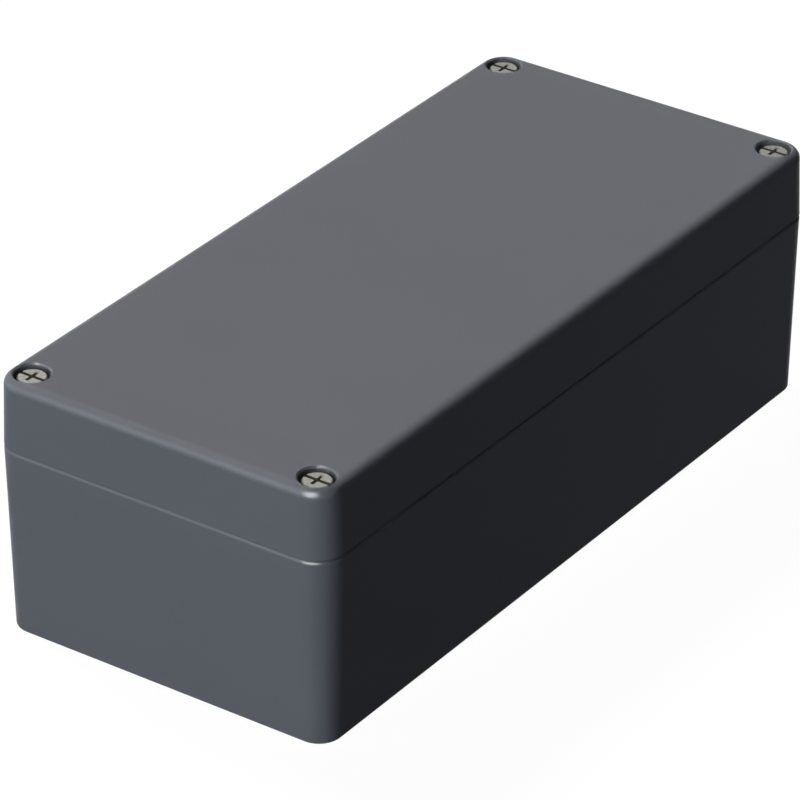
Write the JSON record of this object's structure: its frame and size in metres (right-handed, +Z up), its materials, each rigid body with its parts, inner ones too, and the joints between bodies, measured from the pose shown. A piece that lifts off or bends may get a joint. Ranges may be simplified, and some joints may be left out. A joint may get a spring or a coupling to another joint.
{
  "type": "die cast aluminium box",
  "caption": "Rectangular die cast box with a screwed lid, gasket groove, sunk captive corner screws and wall-fixing holes hidden under the lid.",
  "frame": {"origin": "centre of the box's underside, on the surface that it stands on", "axes": "+X along the length, +Y across the width away from the long side that faces the viewer, +Z up through the lid"},
  "size_m": [0.175, 0.08, 0.057],
  "materials": {
    "painted_casting": "satin",
    "stainless_steel": "satin",
    "plated_brass": "satin",
    "gasket_foam": "matte",
    "ring_plastic": "matte"
  },
  "bodies": {
    "root": {"base": "painted_casting", "lid": "painted_casting", "lid_gasket": "gasket_foam", "lid_screw_front_left": "stainless_steel", "lid_screw_front_right": "stainless_steel", "lid_screw_back_right": "stainless_steel", "lid_screw_back_left": "stainless_steel", "screw_ring_front_left": "ring_plastic", "screw_ring_front_right": "ring_plastic", "screw_ring_back_right": "ring_plastic", "screw_ring_back_left": "ring_plastic", "earth_wire_clamp": "plated_brass", "earth_spring_washer": "stainless_steel", "earth_screw": "plated_brass"}
  },
  "joints": []
}
